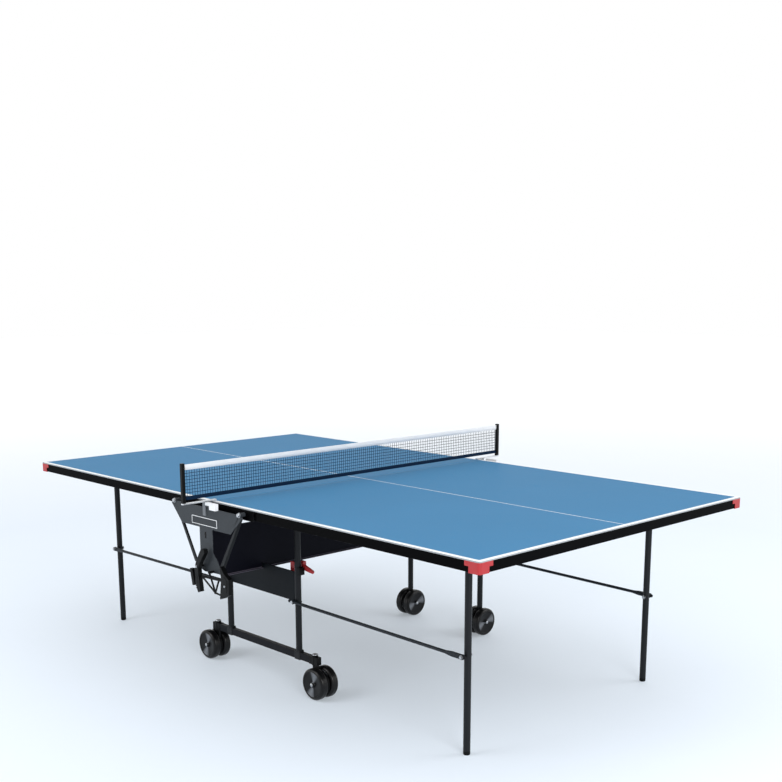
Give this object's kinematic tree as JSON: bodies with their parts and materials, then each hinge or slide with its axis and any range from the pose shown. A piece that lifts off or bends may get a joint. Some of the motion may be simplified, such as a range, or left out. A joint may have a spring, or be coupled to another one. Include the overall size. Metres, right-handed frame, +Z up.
{
  "type": "folding table tennis table",
  "caption": "Folding ping pong table with a split blue top, a clamped net, folding leg frames tied by rods, and a wheeled undercarriage with swivel casters.",
  "frame": {"origin": "centre of the footprint on the floor", "axes": "+X along the length of the table, +Y across it along the net, +Z up"},
  "size_m": [2.74, 1.793, 0.9175],
  "materials": {
    "board_blue": "smooth painted playing surface, satin",
    "apron_black": "black powder coat, satin",
    "frame_dark": "dark grey powder coat, satin",
    "bracket_grey": "mid grey powder coat, satin",
    "panel_dark": "near black powder coat, satin",
    "red_plastic": "moulded red plastic",
    "black_plastic": "moulded black plastic",
    "wheel_black": "moulded black plastic wheel, glossy",
    "bolt_steel": "zinc plated steel",
    "arm_silver": "bright zinc plated steel",
    "clamp_white": "off-white moulded plastic",
    "net_cord": "black knotted net cord",
    "net_tape": "white woven tape",
    "net_hem": "dark woven tape"
  },
  "bodies": {
    "undercarriage": {"uprights": "frame_dark", "upright_plugs": "black_plastic", "bottom_rail": "frame_dark", "near_side_panel": "frame_dark", "far_side_panel": "frame_dark", "cross_panel": "panel_dark", "lever_mounts": "black_plastic", "near_end_bracket": "bracket_grey", "far_end_bracket": "bracket_grey", "bracket_arms": "bracket_grey", "lock_housings": "black_plastic", "fold_bolts": "bolt_steel", "rod_bolts": "bolt_steel", "net_posts": "black_plastic", "net_arms": "arm_silver", "net_clamps": "clamp_white", "net_mesh": "net_cord", "net_top_band": "net_tape", "net_foot_band": "net_hem", "caster_clamps": "black_plastic", "far_wheel_forks": "black_plastic"},
    "right_half": {"right_board": "board_blue", "right_side_rails": "apron_black", "right_end_rail": "apron_black", "right_inner_rail": "apron_black", "right_cross_ribs": "apron_black", "right_leg_rail": "apron_black", "right_corner_caps": "red_plastic", "right_hinge_gussets": "apron_black"},
    "left_half": {"left_board": "board_blue", "left_side_rails": "apron_black", "left_end_rail": "apron_black", "left_inner_rail": "apron_black", "left_cross_ribs": "apron_black", "left_leg_rail": "apron_black", "left_corner_caps": "red_plastic", "left_hinge_gussets": "apron_black"},
    "right_leg_frame": {"right_legs": "frame_dark", "right_leg_tie": "frame_dark", "right_feet": "black_plastic"},
    "left_leg_frame": {"left_legs": "frame_dark", "left_leg_tie": "frame_dark", "left_feet": "black_plastic"},
    "near_right_tie_rod": {"near_right_rod": "apron_black"},
    "far_right_tie_rod": {"far_right_rod": "apron_black"},
    "near_left_tie_rod": {"near_left_rod": "apron_black"},
    "far_left_tie_rod": {"far_left_rod": "apron_black"},
    "right_lock_lever": {"right_lever": "red_plastic"},
    "left_lock_lever": {"left_lever": "red_plastic"},
    "right_caster": {"right_caster_fork": "black_plastic"},
    "left_caster": {"left_caster_fork": "black_plastic"},
    "right_caster_outer_wheel_body": {"right_caster_outer_wheel": "wheel_black"},
    "right_caster_inner_wheel_body": {"right_caster_inner_wheel": "wheel_black"},
    "left_caster_outer_wheel_body": {"left_caster_outer_wheel": "wheel_black"},
    "left_caster_inner_wheel_body": {"left_caster_inner_wheel": "wheel_black"},
    "far_right_outer_wheel_body": {"far_right_outer_wheel": "wheel_black"},
    "far_right_inner_wheel_body": {"far_right_inner_wheel": "wheel_black"},
    "far_left_outer_wheel_body": {"far_left_outer_wheel": "wheel_black"},
    "far_left_inner_wheel_body": {"far_left_inner_wheel": "wheel_black"}
  },
  "joints": [
    {"name": "right_half_fold", "type": "hinge", "parent": "undercarriage", "child": "right_half", "pos_m": [0.212, 0, 0.738], "axis": [0, -1, 0], "range_deg": [0, 90]},
    {"name": "right_leg_fold", "type": "hinge", "parent": "right_half", "child": "right_leg_frame", "pos_m": [1.104, 0, 0.728], "axis": [0, -1, 0], "range_deg": [-90, 0]},
    {"name": "near_right_rod_swing", "type": "hinge", "parent": "undercarriage", "child": "near_right_tie_rod", "pos_m": [0.218, -0.5505, 0.362], "axis": [0, -1, 0], "range_deg": [0, 90]},
    {"name": "far_right_rod_swing", "type": "hinge", "parent": "undercarriage", "child": "far_right_tie_rod", "pos_m": [0.218, 0.5505, 0.362], "axis": [0, -1, 0], "range_deg": [0, 90]},
    {"name": "right_lever_press", "type": "hinge", "parent": "undercarriage", "child": "right_lock_lever", "pos_m": [0.2245, -0.506, 0.492], "axis": [0, -1, 0], "range_deg": [0, 18], "stiffness_Nm_per_rad": 0.6, "springref_deg": -11.46},
    {"name": "left_half_fold", "type": "hinge", "parent": "undercarriage", "child": "left_half", "pos_m": [-0.212, 0, 0.738], "axis": [0, 1, 0], "range_deg": [0, 90]},
    {"name": "left_leg_fold", "type": "hinge", "parent": "left_half", "child": "left_leg_frame", "pos_m": [-1.104, 0, 0.728], "axis": [0, 1, 0], "range_deg": [-90, 0]},
    {"name": "near_left_rod_swing", "type": "hinge", "parent": "undercarriage", "child": "near_left_tie_rod", "pos_m": [-0.218, -0.5505, 0.362], "axis": [0, 1, 0], "range_deg": [0, 90]},
    {"name": "far_left_rod_swing", "type": "hinge", "parent": "undercarriage", "child": "far_left_tie_rod", "pos_m": [-0.218, 0.5505, 0.362], "axis": [0, 1, 0], "range_deg": [0, 90]},
    {"name": "left_lever_press", "type": "hinge", "parent": "undercarriage", "child": "left_lock_lever", "pos_m": [-0.2245, -0.506, 0.492], "axis": [0, 1, 0], "range_deg": [0, 18], "stiffness_Nm_per_rad": 0.6, "springref_deg": -11.46},
    {"name": "right_caster_swivel", "type": "hinge", "parent": "undercarriage", "child": "right_caster", "pos_m": [0.32, -0.53, 0.11], "axis": [0, 0, 1], "continuous": true},
    {"name": "right_caster_outer_wheel_spin", "type": "hinge", "parent": "right_caster", "child": "right_caster_outer_wheel_body", "pos_m": [0.35, -0.5555, 0.0625], "axis": [0, 1, 0], "continuous": true},
    {"name": "right_caster_inner_wheel_spin", "type": "hinge", "parent": "right_caster", "child": "right_caster_inner_wheel_body", "pos_m": [0.35, -0.5045, 0.0625], "axis": [0, 1, 0], "continuous": true},
    {"name": "left_caster_swivel", "type": "hinge", "parent": "undercarriage", "child": "left_caster", "pos_m": [-0.32, -0.53, 0.11], "axis": [0, 0, 1], "continuous": true},
    {"name": "left_caster_outer_wheel_spin", "type": "hinge", "parent": "left_caster", "child": "left_caster_outer_wheel_body", "pos_m": [-0.35, -0.5555, 0.0625], "axis": [0, 1, 0], "continuous": true},
    {"name": "left_caster_inner_wheel_spin", "type": "hinge", "parent": "left_caster", "child": "left_caster_inner_wheel_body", "pos_m": [-0.35, -0.5045, 0.0625], "axis": [0, 1, 0], "continuous": true},
    {"name": "far_right_outer_wheel_spin", "type": "hinge", "parent": "undercarriage", "child": "far_right_outer_wheel_body", "pos_m": [0.25, 0.53, 0.0625], "axis": [1, 0, 0], "continuous": true},
    {"name": "far_right_inner_wheel_spin", "type": "hinge", "parent": "undercarriage", "child": "far_right_inner_wheel_body", "pos_m": [0.199, 0.53, 0.0625], "axis": [1, 0, 0], "continuous": true},
    {"name": "far_left_outer_wheel_spin", "type": "hinge", "parent": "undercarriage", "child": "far_left_outer_wheel_body", "pos_m": [-0.25, 0.53, 0.0625], "axis": [1, 0, 0], "continuous": true},
    {"name": "far_left_inner_wheel_spin", "type": "hinge", "parent": "undercarriage", "child": "far_left_inner_wheel_body", "pos_m": [-0.199, 0.53, 0.0625], "axis": [1, 0, 0], "continuous": true}
  ],
  "couplings": [
    {"joint": "right_leg_fold", "follows": "right_half_fold", "ratio": -1},
    {"joint": "near_right_rod_swing", "follows": "right_half_fold", "ratio": 1},
    {"joint": "far_right_rod_swing", "follows": "right_half_fold", "ratio": 1},
    {"joint": "left_leg_fold", "follows": "left_half_fold", "ratio": -1},
    {"joint": "near_left_rod_swing", "follows": "left_half_fold", "ratio": 1},
    {"joint": "far_left_rod_swing", "follows": "left_half_fold", "ratio": 1}
  ]
}
